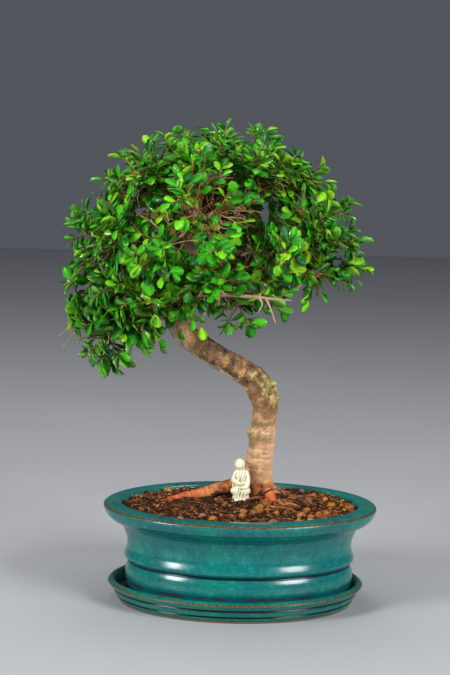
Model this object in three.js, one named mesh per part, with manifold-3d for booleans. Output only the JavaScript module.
// Chinese elm bonsai in an oval glazed pot on its drip saucer.
// Millimetres, +Z up, +X to the right and -Y towards the viewer.
// The origin is the centre of the saucer's flat underside.

import * as THREE from 'three';
import { mergeVertices } from 'three/addons/utils/BufferGeometryUtils.js';
import Module from 'manifold-3d';

const wasm = await Module();
wasm.setup();

// Driving dimensions of the pot and the saucer
const POT_LENGTH = 240;
const POT_WIDTH = 184;
const POT_SHIFT = 3;
const POT_UNDERSIDE = 12;
const POT_FLOOR = 20;
const SAUCER_LENGTH = 225;
const SAUCER_WIDTH = 172;
const SAUCER_FLOOR = 7;
const OVAL_SIDES = 24;
const OVAL_RIM_BAND = 35;
const SEAT = 0.3;

// Feet under the pot, drain holes in its floor and the mesh plates over them
const FOOT_SPREAD_X = 62;
const FOOT_SPREAD_Y = 36;
const FOOT_RADIUS = 11;
const FOOT_TAPER = 1.5;
const FOOT_SUNK = 2;
const DRAIN_SPREAD = 38;
const DRAIN_RADIUS = 8;
const MESH_LENGTH = 34;
const MESH_WIDTH = 26;
const MESH_THICKNESS = 1.2;
const MESH_WINDOW = 5;
const MESH_PITCH = 8;
const MESH_POCKET = 0.5;

// Soil surface: edge level and the mound round the trunk
const SOIL_EDGE = 84.6;
const SOIL_MOUND = 4;
const MOUND_X = 15;
const MOUND_Y = 30;
const MOUND_REACH_X = 45;
const MOUND_REACH_Y = 30;
const SOCKET_CLEARANCE = 0.35;

// Crown: middle, reach in the front view and reach towards the viewer
const CROWN = new THREE.Vector3(-26, 8, 312);
const CROWN_SIDE = 122;
const CROWN_UP = 102;
const CROWN_DOWN = 58;
const CROWN_DEPTH = 96;

// Tips that fill the crown's barest parts: how many, out of how many places, and how far out they lie
const FILLING_COUNT = 8;
const FILLING_PLACES = 400;
const FILLING_REACH = 0.94;
const GOLDEN_TURN = THREE.MathUtils.degToRad(137.5);

// Woody branches and leafy stems: radii at both ends, length of stem beyond the branch, and one side twig
const BRANCH_THICK = 1.9;
const BRANCH_THIN = 1.5;
const STEM_LENGTH = 44;
const STEM_THICK = 1.2;
const STEM_THIN = 0.6;
const TWIG_PLACE = 0.36;
const TWIG_REACH = 21;
const TWIG_THICK = 0.8;
const TWIG_THIN = 0.55;

// Leaves: longest length, how much shorter they come, thickness and the gap kept round them
const LEAF_LONG = 17.5;
const LEAF_SPREAD = 4.5;
const LEAF_END_SHARE = 0.9;
const LEAF_WIDTH_SHARE = 0.6;
const LEAF_THICKNESS = 1.3;
const LEAF_SUNK = 0.1;
const LEAF_CLEARANCE = 0.2;
const LEAF_TRIES = 4;

// Largest move allowed where a joined surface is thinned out
const POT_TOLERANCE = 0.02;
const WOOD_TOLERANCE = 0.1;
const SOCKET_TOLERANCE = 0.05;
const SOIL_TOLERANCE = 0.2;
const FIGURE_TOLERANCE = 0.15;
const SPRAY_TOLERANCE = 0.05;

const UP = new THREE.Vector3(0, 0, 1);

const glaze = new THREE.MeshStandardMaterial({ color: 0x1d7f76, roughness: 0.15, metalness: 0 });
const saucerGlaze = new THREE.MeshStandardMaterial({ color: 0x1f7f6d, roughness: 0.18, metalness: 0 });
const earth = new THREE.MeshStandardMaterial({ color: 0x3d2416, roughness: 0.95, metalness: 0 });
const bark = new THREE.MeshStandardMaterial({ color: 0xa9825c, roughness: 0.8, metalness: 0 });
const foliage = new THREE.MeshStandardMaterial({ color: 0x2f8a1c, roughness: 0.4, metalness: 0 });
const creamGlaze = new THREE.MeshStandardMaterial({ color: 0xe9e6c6, roughness: 0.3, metalness: 0 });
const blackWire = new THREE.MeshStandardMaterial({ color: 0x16161a, roughness: 0.3, metalness: 0.4 });
const meshPlastic = new THREE.MeshStandardMaterial({ color: 0x202020, roughness: 0.6, metalness: 0 });

const bonsai = new THREE.Group();

// Repeatable draw from 0 to 1 for one item and one use of it
function draw(item, use) {
  const wave = Math.sin(item * 12.9898 + use * 78.233) * 43758.5453;
  return wave - Math.floor(wave);
}

// Closed skin of a geometry: positions only, with its shared vertices merged
function skinOf(geometry) {
  geometry.deleteAttribute('normal');
  geometry.deleteAttribute('uv');
  return mergeVertices(geometry, 1e-4);
}

function solidOf(skin) {
  return new wasm.Manifold(new wasm.Mesh({
    numProp: 3,
    vertProperties: new Float32Array(skin.getAttribute('position').array),
    triVerts: new Uint32Array(skin.index.array),
  }));
}

function geometryOf(solid) {
  const mesh = solid.getMesh();
  const geometry = new THREE.BufferGeometry();
  geometry.setAttribute('position', new THREE.Float32BufferAttribute(mesh.vertProperties, 3));
  geometry.setIndex(new THREE.Uint32BufferAttribute(mesh.triVerts, 1));
  geometry.computeVertexNormals();
  return geometry;
}

function addPiece(name, solid, material) {
  const piece = new THREE.Mesh(geometryOf(solid), material);
  piece.name = name;
  bonsai.add(piece);
}

// The one body of a join that holds together, without loose scraps
function wholeBody(solid) {
  const bodies = solid.decompose();
  return bodies.reduce((most, body) => (body.volume() > most.volume() ? body : most));
}

// The same surface with fewer triangles, nowhere moved by more than the tolerance
function tidy(solid, tolerance) {
  return solid.asOriginal().simplify(tolerance);
}

function joined(solids) {
  return solids.slice(1).reduce((sum, solid) => sum.add(solid), solids[0]);
}

// Value read off a list of equally spaced stations
function valueAlong(values, along) {
  const place = THREE.MathUtils.clamp(along, 0, 1) * (values.length - 1);
  const start = Math.min(Math.floor(place), values.length - 2);
  return THREE.MathUtils.lerp(values[start], values[start + 1], place - start);
}

// Smooth middle line through stations [x, y, z, radius]
function middleLine(stations) {
  const points = stations.map(([x, y, z]) => new THREE.Vector3(x, y, z));
  return new THREE.CatmullRomCurve3(points, false, 'catmullrom', 0.5);
}

// Round limb along stations [x, y, z, radius]; swell adds to the radius and to both ends
function limbGeometry(stations, sides, steps, swell = 0) {
  const middle = middleLine(stations);
  const radii = stations.map((station) => station[3]);
  const limb = skinOf(new THREE.CylinderGeometry(1, 1, 1, sides, steps));
  const spots = limb.getAttribute('position');
  const chord = middle.getPoint(1).sub(middle.getPoint(0));
  const steep = Math.abs(chord.z) > 0.6 * chord.length();
  const reference = steep ? new THREE.Vector3(0, 1, 0) : UP;
  for (let i = 0; i < spots.count; i++) {
    const along = spots.getY(i) + 0.5;
    const ahead = middle.getTangent(along);
    const across = new THREE.Vector3().crossVectors(ahead, reference).normalize();
    const other = new THREE.Vector3().crossVectors(across, ahead);
    const radius = valueAlong(radii, along) + swell;
    const spot = middle.getPoint(along);
    spot.addScaledVector(across, spots.getX(i) * radius);
    spot.addScaledVector(other, spots.getZ(i) * radius);
    const end = Math.round(along) === along ? 2 * along - 1 : 0;
    spot.addScaledVector(ahead, end * swell);
    spots.setXYZ(i, spot.x, spot.y, spot.z);
  }
  return limb;
}

// Oval body turned from a profile of [inset from the rim, height], first and last on the axis
function ovalGeometry(profile, length, width) {
  const points = profile.map(([inset, height]) => new THREE.Vector2(length / 2 - inset, height));
  const oval = skinOf(new THREE.LatheGeometry(points, OVAL_SIDES)).rotateX(Math.PI / 2);
  const narrower = (length - width) / 2;
  const flatRadius = length / 2 - OVAL_RIM_BAND;
  const flatShare = (flatRadius - narrower) / flatRadius;
  const spots = oval.getAttribute('position');
  for (let i = 0; i < spots.count; i++) {
    const radius = Math.hypot(spots.getX(i), spots.getY(i));
    const share = radius > flatRadius ? (radius - narrower) / radius : flatShare;
    spots.setY(i, spots.getY(i) * share);
  }
  return oval;
}

// Saucer: stepped wall with two grooves, rounded lip, unglazed flat underside
const saucerProfile = [
  [SAUCER_LENGTH / 2, 0], [10.2, 0], [9.6, 2.6], [8.2, 3.2], [6.6, 7.2], [7.2, 7.8], [5.2, 8.6],
  [3.6, 12.8], [4.2, 13.4], [2.4, 14.3], [0, 17.4], [2.2, 19.8], [5.2, 20.2], [6.8, 18.2],
  [10, 9.6], [14, SAUCER_FLOOR], [SAUCER_LENGTH / 2, SAUCER_FLOOR],
];
addPiece('saucer', solidOf(ovalGeometry(saucerProfile, SAUCER_LENGTH, SAUCER_WIDTH)), saucerGlaze);

// Pot: lower band, groove, waisted wall, rolled lip, broad flat rim, then the inner wall
const potOutside = [
  [24, POT_UNDERSIDE], [21.2, 15], [20, 26], [20.6, 35.2], [22.4, 36.6], [20, 38.2], [19.2, 43],
  [21, 52.5], [19.6, 60], [15.6, 69.6], [11, 71.6], [4, 77], [0, 84.6], [2.4, 88], [14.4, 89.8],
];
const potInside = [[15.6, 88.8], [22, 72], [28.5, 54], [28.5, 26], [34, POT_FLOOR]];
const potProfile = [
  [POT_LENGTH / 2, POT_UNDERSIDE], ...potOutside, ...potInside, [POT_LENGTH / 2, POT_FLOOR],
];

function potSolid() {
  let pot = solidOf(ovalGeometry(potProfile, POT_LENGTH, POT_WIDTH));
  const footBottom = SAUCER_FLOOR + SEAT;
  const footTop = POT_UNDERSIDE + FOOT_SUNK;
  const footHeight = footTop - footBottom;
  for (const sideX of [-1, 1]) {
    for (const sideY of [-1, 1]) {
      const foot = skinOf(new THREE.CylinderGeometry(FOOT_RADIUS, FOOT_RADIUS - FOOT_TAPER, footHeight, 10));
      foot.rotateX(Math.PI / 2);
      foot.translate(sideX * FOOT_SPREAD_X, sideY * FOOT_SPREAD_Y, (footTop + footBottom) / 2);
      pot = pot.add(solidOf(foot));
    }
    const hole = skinOf(new THREE.CylinderGeometry(DRAIN_RADIUS, DRAIN_RADIUS, 30, 12));
    hole.rotateX(Math.PI / 2);
    hole.translate(sideX * DRAIN_SPREAD, 0, POT_FLOOR);
    pot = pot.subtract(solidOf(hole));
  }
  return tidy(pot, POT_TOLERANCE).translate([POT_SHIFT, 0, 0]);
}
addPiece('pot', potSolid(), glaze);

function box(length, width, height, x, y, z) {
  return solidOf(skinOf(new THREE.BoxGeometry(length, width, height)).translate(x, y, z));
}

// Mesh plate over a drain hole: a plastic grid two windows wide and two deep
function drainMesh(side) {
  const middleX = POT_SHIFT + side * DRAIN_SPREAD;
  const middleZ = POT_FLOOR + SEAT + MESH_THICKNESS / 2;
  let plate = box(MESH_LENGTH, MESH_WIDTH, MESH_THICKNESS, middleX, 0, middleZ);
  for (const column of [-0.5, 0.5]) {
    for (const row of [-0.5, 0.5]) {
      const x = middleX + column * MESH_PITCH;
      plate = plate.subtract(box(MESH_WINDOW, MESH_WINDOW, 3, x, row * MESH_PITCH, middleZ));
    }
  }
  return plate;
}
addPiece('drain_mesh_left', drainMesh(-1), meshPlastic);
addPiece('drain_mesh_right', drainMesh(1), meshPlastic);

// Trunk middle line from below the root collar to the leader's tip
const TRUNK = [
  [20, 31, 84, 8], [19.5, 31, 91, 10.5], [19.2, 31, 98, 13.6], [19.2, 31, 109, 12.8],
  [20.1, 31, 122.5, 11.8], [21.8, 30.5, 138, 11.6], [23.4, 30, 153, 11.4], [23.6, 29, 167, 11.6],
  [21.6, 28, 178.3, 12.2], [16.9, 27, 188.2, 12], [9, 26, 197, 11], [-14.7, 22, 210.7, 10.4],
  [-37.5, 18, 224.6, 10.2], [-49.9, 16, 235.7, 9.8], [-57, 14, 247, 9.4], [-61, 12.5, 259, 8.8],
  [-60, 12, 273, 7.4], [-52, 11, 291, 5.8], [-43, 10, 312, 4.6], [-43, 9, 334, 3.6],
  [-38, 8, 354, 2.6], [-32, 8, 370, 1.4],
];

const TRUNK_SIDES = 10;
const TRUNK_STEPS = 25;
const ROOT_SIDES = 6;
const ROOT_STEPS = 5;

// Roots: the long one to the left, the short bare one in front, and those behind
const ROOTS = [
  [[16, 31, 98, 9.5], [2, 29, 98, 7], [-14, 27, 94, 6], [-32, 25, 89.5, 5],
    [-48, 21, 86.5, 4], [-62, 15, 84, 3], [-72, 12, 77, 1.8]],
  [[22, 27, 96, 7.4], [27.5, 20, 92, 5.2], [31, 14, 88.5, 4.2], [34.5, 9, 83, 3.2], [37, 4, 73, 2]],
  [[26, 34, 92, 9], [40, 40, 86.5, 4.8], [54, 45, 81.5, 3.4], [66, 49, 72, 2]],
  [[18, 38, 94, 8.5], [10, 52, 86, 4.6], [4, 62, 78, 3], [0, 66, 70, 2]],
  [[20, 31, 92, 9], [18, 27, 80, 7], [14, 20, 66, 4.5], [10, 12, 52, 2]],
];

// Snag stubs left where shoots were cut off the trunk
const SNAGS = [
  [[20, 26, 181, 5], [29, 22, 189, 2.4], [32, 20, 192, 1.6]],
  [[27, 27, 171, 5], [34.5, 24, 177, 2], [36.5, 23, 179, 1.2]],
  [[14, 28, 140, 4], [9.6, 26, 147, 1.8], [8.6, 25, 149, 1]],
  [[-50, 14, 243, 5], [-43, 10, 252, 2.4], [-41.5, 9, 257, 1.4]],
];

// Limbs from the trunk out to about six tenths of the crown's reach
const LIMBS = [
  [[-59, 11, 267, 4.6], [-36, -2, 269, 3], [-2, -7, 272, 2.6], [22, -6, 269, 2], [46, -4, 277, 1.5]],
  [[-61, 12, 257, 5], [-80, 5, 254, 3], [-107, 2, 240, 2.2], [-124, 2, 236, 1.6]],
  [[-59, 10, 263, 4.6], [-72, -18, 265, 2.8], [-84, -44, 273, 1.6]],
  [[-59, 14, 266, 4.6], [-77, 42, 270, 2.8], [-88, 62, 280, 1.6]],
  [[-56, 13, 280, 4.4], [-28, 42, 284, 2.8], [6, 62, 288, 1.6]],
  [[-54, 10, 285, 4.2], [-24, -22, 286, 2.8], [12, -42, 290, 1.6]],
  [[-51, 11, 292, 4], [-76, 8, 302, 2.6], [-102, 10, 316, 1.6]],
  [[-48, 11, 300, 4], [-10, 10, 306, 2.8], [36, 12, 316, 1.6]],
  [[-43, 10, 312, 3.4], [-40, 38, 324, 2.2], [-34, 60, 338, 1.5]],
  [[-43, 9, 318, 3.4], [-38, -22, 328, 2.2], [-30, -46, 338, 1.5]],
  [[-43, 9, 330, 3], [-14, 12, 348, 2], [14, 14, 362, 1.4]],
  [[-43, 9, 338, 2.8], [-62, 10, 356, 1.9], [-78, 10, 370, 1.4]],
];

// Outermost leaves of the crown as the front view shows its outline, [x, y, z]
const OUTLINE_TIPS = [
  [-151, 10, 328], [-114, 14, 374], [-92, 4, 395], [-56, 14, 411], [-24, 4, 417], [15, 10, 415],
  [50, 6, 390], [75, 8, 373], [96, 12, 352], [104, 2, 318], [106, 10, 296], [76, 2, 271],
  [40, -8, 252], [9, -13, 239], [-69, -10, 235], [-98, 0, 220], [-122, 4, 204], [-147, 4, 262],
  [-149, 12, 290],
];

// Crown's reach in the front view at one angle from +X: an oval with a skirt low on the left
function crownReach(angle) {
  const vertical = Math.sin(angle) > 0 ? CROWN_UP : CROWN_DOWN;
  const oval = 1 / Math.hypot(Math.cos(angle) / CROWN_SIDE, Math.sin(angle) / vertical);
  const fromSkirt = (angle - 1.22 * Math.PI) / 0.4;
  return oval + 26 * Math.exp(-fromSkirt * fromSkirt);
}

// Tips over the front or the back of the crown, on rings round the line of sight
function facingTips(side) {
  const rings = [[64, 6], [34, 4], [0, 1]];
  const tips = [];
  for (const [opening, count] of rings) {
    const tilt = THREE.MathUtils.degToRad(opening);
    for (let i = 0; i < count; i++) {
      const item = 100 + tips.length + 40 * side;
      const angle = (2 * Math.PI * (i + 0.5 * (side + 1) / 2 + 0.3 * draw(item, 1))) / count;
      const reach = crownReach(angle) * Math.sin(tilt);
      tips.push([
        CROWN.x + reach * Math.cos(angle),
        CROWN.y + side * CROWN_DEPTH * Math.cos(tilt),
        CROWN.z + reach * Math.sin(angle),
      ]);
    }
  }
  return tips;
}

// Tips in the barest parts of the crown: of many places spread evenly over it, the one that lies
// farthest from every tip so far is taken each time
function fillingTips(tips) {
  const places = [];
  for (let i = 0; i < FILLING_PLACES; i++) {
    const depth = 1 - (2 * (i + 0.5)) / FILLING_PLACES;
    const angle = (GOLDEN_TURN * i) % (2 * Math.PI);
    const reach = crownReach(angle) * Math.sqrt(1 - depth * depth);
    const way = new THREE.Vector3(reach * Math.cos(angle), CROWN_DEPTH * depth, reach * Math.sin(angle));
    places.push(CROWN.clone().addScaledVector(way, FILLING_REACH));
  }
  const taken = tips.map((tip) => new THREE.Vector3(...tip));
  const room = (place) => Math.min(...taken.map((tip) => tip.distanceTo(place)));
  for (let i = 0; i < FILLING_COUNT; i++) {
    taken.push(places.reduce((best, place) => (room(place) > room(best) ? place : best)));
  }
  return taken.slice(tips.length);
}

const MAIN_TIPS = [...OUTLINE_TIPS, ...facingTips(-1), ...facingTips(1)];
const TIPS = [...MAIN_TIPS, ...fillingTips(MAIN_TIPS)];

// Place on a limb from which the branch to a tip grows: about a stem's length away, heading outwards
function growsFrom(tip, outwards) {
  let best = null;
  for (const stations of LIMBS) {
    const middle = middleLine(stations);
    for (const along of [0.5, 0.62, 0.74, 0.86, 0.97]) {
      const place = middle.getPoint(along);
      const way = tip.clone().sub(place);
      const heading = way.clone().normalize();
      const beside = along < 0.9 ? Math.max(0, heading.dot(middle.getTangent(along)) - 0.6) : 0;
      const astray = 1 - heading.dot(outwards);
      const cost = Math.abs(way.length() - STEM_LENGTH - 10) + 45 * astray + 120 * beside;
      if (best === null || cost < best.cost) {
        best = { cost, place };
      }
    }
  }
  return best.place;
}

// Route of one spray from its limb to its tip, rising a little on the way
function sprayRoute(tipPlace, number) {
  const tip = new THREE.Vector3(...tipPlace);
  const outwards = tip.clone().sub(CROWN).normalize();
  const start = growsFrom(tip, outwards);
  const end = tip.clone().addScaledVector(outwards, -8);
  const length = end.distanceTo(start);
  const middle = start.clone().lerp(end, 0.5);
  middle.addScaledVector(UP, (0.06 + 0.1 * draw(number, 2)) * length);
  const curve = new THREE.QuadraticBezierCurve3(start, middle, end);
  const woody = Math.max(0.14, 1 - STEM_LENGTH / length);
  return { number, tip, outwards, curve, woody, length };
}

const ROUTES = TIPS.map((tip, index) => sprayRoute(tip, index + 1));

// Stations [x, y, z, radius] along part of a route
function stationsAlong(curve, from, to, count, thick, thin) {
  const stations = [];
  for (let i = 0; i < count; i++) {
    const share = i / (count - 1);
    const place = curve.getPoint(THREE.MathUtils.lerp(from, to, share));
    stations.push([place.x, place.y, place.z, THREE.MathUtils.lerp(thick, thin, share)]);
  }
  return stations;
}

// Woody branch and green stem of a route: straight on from each other, with parallel faces at the seat
const SEAT_OVERRUN = 0.05;

function seatOf({ curve, woody }) {
  const normal = curve.getTangent(woody);
  return { normal, height: curve.getPoint(woody).dot(normal) };
}

function branchSolid(route) {
  const { normal, height } = seatOf(route);
  const stations = stationsAlong(route.curve, 0, route.woody + SEAT_OVERRUN, 2, BRANCH_THICK, BRANCH_THIN);
  return solidOf(limbGeometry(stations, 3, 1)).trimByPlane([-normal.x, -normal.y, -normal.z], -height);
}

function stemSolid(route) {
  const { normal, height } = seatOf(route);
  const stations = stationsAlong(route.curve, route.woody - SEAT_OVERRUN, 1, 3, STEM_THICK, STEM_THIN);
  return solidOf(limbGeometry(stations, 3, 2)).trimByPlane([...normal], height + SEAT);
}

// Solids that later leaves have to stay clear of, with the spray each belongs to
const occupied = [];

function occupy(solid, owner) {
  occupied.push({ solid, owner, box: solid.boundingBox() });
}

function boxesMeet(a, b) {
  return [0, 1, 2].every((axis) => a.min[axis] <= b.max[axis] && b.min[axis] <= a.max[axis]);
}

// True where a solid is clear of everything placed, apart from the wood it grows from
function isClear(solid, own) {
  const box = solid.boundingBox();
  return occupied.every((other) => own.includes(other.owner) || !boxesMeet(box, other.box)
    || solid.intersect(other.solid).isEmpty());
}

// Trunk and roots, or the hollow that they need in the soil where they swell
function rootstock(swell) {
  const solids = [solidOf(limbGeometry(TRUNK, TRUNK_SIDES, TRUNK_STEPS, swell))];
  ROOTS.forEach((root) => solids.push(solidOf(limbGeometry(root, ROOT_SIDES, ROOT_STEPS, swell))));
  return solids;
}

// Trunk with its roots, snags, limbs and the woody branches that carry the sprays
function trunkSolids() {
  const solids = rootstock(0);
  SNAGS.forEach((snag) => solids.push(solidOf(limbGeometry(snag, 4, 2))));
  LIMBS.forEach((limb) => solids.push(solidOf(limbGeometry(limb, 4, 3))));
  ROUTES.forEach((route) => solids.push(branchSolid(route)));
  return solids;
}
const trunkParts = trunkSolids();
trunkParts.forEach((solid) => occupy(solid, 'trunk'));
addPiece('trunk', tidy(wholeBody(joined(trunkParts)), WOOD_TOLERANCE), bark);

// Height of the soil surface: a mound round the trunk, with lumps of a few millimetres
function soilHeight(x, y) {
  const fromX = (x - MOUND_X) / MOUND_REACH_X;
  const fromY = (y - MOUND_Y) / MOUND_REACH_Y;
  const mound = SOIL_MOUND * Math.exp(-fromX * fromX - fromY * fromY);
  const lumps = 0.7 * Math.sin(0.19 * x + 1.3) * Math.cos(0.23 * y) + 0.4 * Math.sin(0.41 * x - 0.37 * y);
  return SOIL_EDGE + mound + lumps;
}

// Anchor wire over the front root, both ends pushed down into the soil
const WIRE_RADIUS = 0.65;
const WIRE_ROUTE = [
  [13.2, 12, 68], [13.6, 12.3, 79], [15.4, 12.8, 87.6], [22, 13.4, 92.4], [29, 14.2, 96.2],
  [34, 15.6, 96.8], [38.6, 16.8, 95], [42, 17.8, 89.6], [43.6, 18.2, 80], [44, 18.4, 68],
];
const WIRE_STEPS = 15;
const WIRE_SIDES = 6;

function wireGeometry(radius, deeper = 0) {
  const section = new THREE.Shape().absarc(0, 0, radius, 0, 2 * Math.PI);
  const places = WIRE_ROUTE.map((place) => new THREE.Vector3(...place));
  places[0].z -= deeper;
  places[places.length - 1].z -= deeper;
  const route = new THREE.CatmullRomCurve3(places);
  const options = {
    steps: WIRE_STEPS, curveSegments: WIRE_SIDES / 2, extrudePath: route, bevelEnabled: false,
  };
  return skinOf(new THREE.ExtrudeGeometry(section, options));
}
addPiece('anchor_wire', solidOf(wireGeometry(WIRE_RADIUS)), blackWire);

// Seated figure: where its base stands, and the flat seat trodden into the soil for it
const FIGURE_X = 3.6;
const FIGURE_Y = 12;
const FIGURE_BASE = 86.6;
const FIGURE_TURN = -0.15;
const SEAT_RADIUS = 9.2;

// Soil: fills the pot up to its uneven surface, with recesses for what lies and stands in it
function soilSolid() {
  const clear = SOCKET_CLEARANCE;
  const raised = SOIL_EDGE + 1;
  const rings = [[18.1, SOIL_EDGE], [42, raised], [66, raised], [92, raised], [POT_LENGTH / 2, raised]];
  const profile = [[POT_LENGTH / 2, POT_FLOOR + clear], [34.2, POT_FLOOR + clear]];
  profile.push([28.5 + clear, 26], [28.5 + clear, 54], [22 + clear, 72], ...rings);
  const body = ovalGeometry(profile, POT_LENGTH, POT_WIDTH);
  const spots = body.getAttribute('position');
  for (let i = 0; i < spots.count; i++) {
    if (spots.getZ(i) > SOIL_EDGE + 0.5) {
      spots.setZ(i, soilHeight(spots.getX(i) + POT_SHIFT, spots.getY(i)));
    }
  }
  let soil = solidOf(body).translate([POT_SHIFT, 0, 0]);
  soil = soil.subtract(tidy(joined(rootstock(clear)), SOCKET_TOLERANCE));
  soil = soil.subtract(solidOf(wireGeometry(WIRE_RADIUS + clear, clear)));
  const seat = skinOf(new THREE.CylinderGeometry(SEAT_RADIUS, SEAT_RADIUS, 20, 10)).rotateX(Math.PI / 2);
  seat.translate(FIGURE_X, FIGURE_Y, FIGURE_BASE - SEAT + 10);
  soil = soil.subtract(solidOf(seat));
  for (const side of [-1, 1]) {
    const middleX = POT_SHIFT + side * DRAIN_SPREAD;
    const top = POT_FLOOR + SEAT + MESH_THICKNESS + clear;
    const pocketLength = MESH_LENGTH + 2 * MESH_POCKET;
    const pocketWidth = MESH_WIDTH + 2 * MESH_POCKET;
    soil = soil.subtract(box(pocketLength, pocketWidth, 6, middleX, 0, top - 3));
  }
  return tidy(wholeBody(soil), SOIL_TOLERANCE);
}
addPiece('soil', soilSolid(), earth);

function ball(radii, place, sides, rings) {
  const sphere = skinOf(new THREE.SphereGeometry(1, sides, rings)).rotateX(Math.PI / 2);
  return solidOf(sphere.scale(...radii).translate(...place));
}

// Seated figure in a robe: skirt and body turned as one, knees, feet, arms in wide sleeves, bowed head
function figureSolid() {
  const robe = [
    [0, 0], [7.4, 0], [7.7, 2.4], [6.6, 6], [7.6, 11], [6, 16], [5.9, 23], [4.6, 27], [2, 29.6], [0, 29.6],
  ];
  const outline = robe.map(([radius, height]) => new THREE.Vector2(radius, height));
  const turned = new THREE.LatheGeometry(outline, 8);
  let figure = solidOf(skinOf(turned).rotateX(Math.PI / 2).scale(1, 0.78, 1));
  figure = figure.add(ball([4.3, 4.3, 4.9], [-1.2, -1.2, 33.1], 8, 6));
  for (const side of [-1, 1]) {
    figure = figure.add(ball([4.6, 4.2, 4], [side * 4.4, -2.8, 9.4], 6, 4));
    figure = figure.add(ball([2.6, 2.9, 2.2], [side * 3.6, -4.6, 1.9], 5, 3));
  }
  const sleeves = [
    [[-4.8, 0, 25.6, 2.3], [-7, -0.6, 20, 2.4], [-6.6, -3.6, 16, 2.3], [-1, -6, 16.4, 1.8]],
    [[4.8, 0, 25.6, 2.3], [6.9, -0.4, 19, 2.5], [6.4, -3.2, 14, 2.3], [2.2, -5.8, 12.6, 1.8]],
  ];
  sleeves.forEach((sleeve) => {
    figure = figure.add(solidOf(limbGeometry(sleeve, 5, 2)));
  });
  const level = box(30, 30, 10, 0, 0, -5);
  return tidy(wholeBody(figure.subtract(level)), FIGURE_TOLERANCE);
}
const turnedFigure = figureSolid().rotate([0, 0, THREE.MathUtils.radToDeg(FIGURE_TURN)]);
addPiece('figurine', turnedFigure.translate([FIGURE_X, FIGURE_Y, FIGURE_BASE]), creamGlaze);

// Outline of a leaf at eight places round it, anticlockwise from the base: share of its length and of
// its half width. Each side is notched once, so that a tooth stands out, not opposite the other one.
const LEAF_OUTLINE = [
  [0, 0], [0.26, -0.82], [0.56, -1], [0.63, -0.74], [1, 0], [0.8, 0.52], [0.74, 0.84], [0.32, 1],
];
const LEAF_RIB_PLACE = 0.25;

// Leaf blade: a low cone on a flat underside, whose edge follows the toothed outline, with the base at
// the origin, the tip along +X and the upper face along +Z
function leafGeometry(length, clearance = 0) {
  const count = LEAF_OUTLINE.length;
  const blade = skinOf(new THREE.SphereGeometry(1, count, 2));
  blade.rotateX(Math.PI / 2);
  const spots = blade.getAttribute('position');
  const halfWidth = (length * LEAF_WIDTH_SHARE) / 2;
  for (let i = 0; i < spots.count; i++) {
    const x = spots.getX(i);
    const y = spots.getY(i);
    const height = spots.getZ(i);
    if (Math.abs(height) > 0.5) {
      const rise = height > 0 ? LEAF_THICKNESS + clearance : -clearance;
      spots.setXYZ(i, LEAF_RIB_PLACE * length, 0, rise);
    } else {
      const turn = (Math.atan2(y, x) / (2 * Math.PI) + 1) * count;
      const [along, across] = LEAF_OUTLINE[Math.round(turn) % count];
      const grown = 1 + (2 * clearance) / length;
      const wider = halfWidth + 2 * clearance;
      spots.setXYZ(i, along * length * grown, across * wider, 0);
    }
  }
  return blade;
}

// Turns a shape lying along +X, face up, to a base, a direction and a face
function placed(geometry, base, direction, face) {
  const side = new THREE.Vector3().crossVectors(face, direction).normalize();
  const upper = new THREE.Vector3().crossVectors(direction, side);
  const pose = new THREE.Matrix4().makeBasis(direction, side, upper).setPosition(base);
  return geometry.applyMatrix4(pose);
}

// Direction and face of a leaf on a shoot: it leans forwards and to one side,
// and its face looks partly up and partly out of the crown
function leafPose(ahead, aside, outwards, item, attempt) {
  const direction = ahead.clone();
  direction.addScaledVector(aside, 0.9 + 0.4 * draw(item, 11));
  direction.addScaledVector(UP, 0.7 * (draw(item, 12) - 0.45));
  direction.normalize();
  const face = outwards.clone().multiplyScalar(0.55).addScaledVector(UP, 0.5);
  face.x += 0.9 * (draw(item, 13 + 3 * attempt) - 0.5);
  face.y += 0.9 * (draw(item, 14 + 3 * attempt) - 0.5);
  face.z += 0.9 * (draw(item, 15 + 3 * attempt) - 0.5);
  face.addScaledVector(direction, -face.dot(direction)).normalize();
  return { direction, face };
}

// Leaves of the stem and of its twig: share of the shoot, then left, right or straight on
const STEM_LEAVES = [[0.28, 1], [0.46, -1], [0.6, 1], [0.74, -1], [0.88, 1], [1, 0]];
const TWIG_LEAVES = [[0.45, 1], [0.72, -1], [1, 0]];

// Direction square to a shoot, near level, turned about the shoot by a roll
function sideways(ahead, roll) {
  const aside = new THREE.Vector3().crossVectors(ahead, UP);
  if (aside.length() < 0.3) {
    aside.crossVectors(ahead, new THREE.Vector3(0, 1, 0));
  }
  return aside.normalize().applyAxisAngle(ahead, roll);
}

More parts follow.
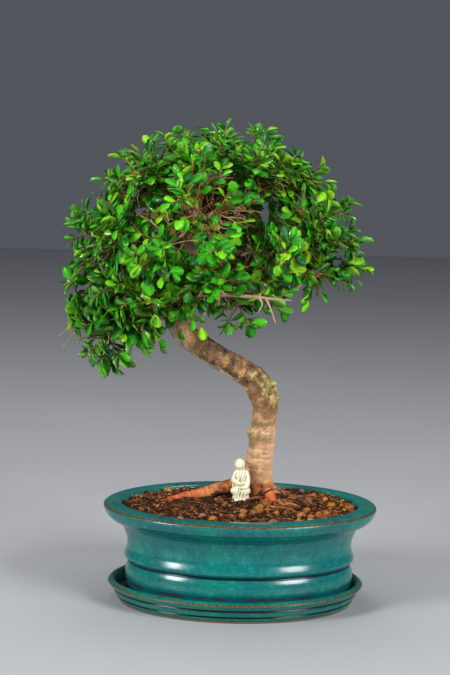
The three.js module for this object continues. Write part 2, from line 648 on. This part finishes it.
// Stem of one spray and its side twig, which is left out where it would cross other wood
function startSpray(route) {
  const { number, curve, woody } = route;
  const owner = `spray_${String(number).padStart(2, '0')}`;
  const stem = (share) => curve.getPoint(THREE.MathUtils.lerp(woody, 1, share));
  const parts = [stemSolid(route)];
  const shoots = [{ at: stem, leaves: STEM_LEAVES }];
  const roll = 1.2 * (draw(number, 3) - 0.5);
  const hand = number % 2 ? 1 : -1;
  const from = stem(TWIG_PLACE);
  const way = curve.getTangent(THREE.MathUtils.lerp(woody, 1, TWIG_PLACE)).multiplyScalar(0.62);
  way.addScaledVector(sideways(curve.getTangent(0.8), roll), 0.78 * hand);
  way.addScaledVector(UP, 0.12).normalize();
  const to = from.clone().addScaledVector(way, TWIG_REACH);
  const twig = solidOf(limbGeometry([[...from, TWIG_THICK], [...to, TWIG_THIN]], 3, 1));
  if (isClear(twig, [])) {
    parts.push(twig);
    shoots.push({ at: (share) => from.clone().lerp(to, share), leaves: TWIG_LEAVES });
  }
  parts.forEach((solid, index) => occupy(solid, `${owner} shoot ${index}`));
  return { route, owner, parts, shoots, roll };
}

// Adds one leaf; where it would cross anything it is turned, then left out
function addLeaf({ route, owner, parts, roll }, at, place, hand, shootOwner, item) {
  const base = at(place - 0.02);
  const ahead = at(Math.min(place + 0.02, 1)).sub(base).normalize();
  const aside = sideways(ahead, roll).multiplyScalar(hand);
  const size = (LEAF_LONG - LEAF_SPREAD * draw(item, 10)) * (hand === 0 ? LEAF_END_SHARE : 1);
  for (let attempt = 0; attempt < LEAF_TRIES; attempt++) {
    const { direction, face } = leafPose(ahead, aside, route.outwards, item, attempt);
    const root = base.clone().addScaledVector(direction, -LEAF_SUNK);
    const room = solidOf(placed(leafGeometry(size, LEAF_CLEARANCE), root, direction, face));
    if (isClear(room, [shootOwner])) {
      const leaf = solidOf(placed(leafGeometry(size), root, direction, face));
      parts.push(leaf);
      occupy(leaf, `${owner} leaves`);
      return;
    }
  }
}

const SPRAYS = ROUTES.map(startSpray);
for (const spray of SPRAYS) {
  spray.shoots.forEach(({ at, leaves }, shootIndex) => {
    leaves.forEach(([place, hand], leafIndex) => {
      const item = spray.route.number * 32 + shootIndex * 8 + leafIndex;
      addLeaf(spray, at, place, hand, `${spray.owner} shoot ${shootIndex}`, item);
    });
  });
  addPiece(spray.owner, tidy(wholeBody(joined(spray.parts)), SPRAY_TOLERANCE), foliage);
}

export default bonsai;
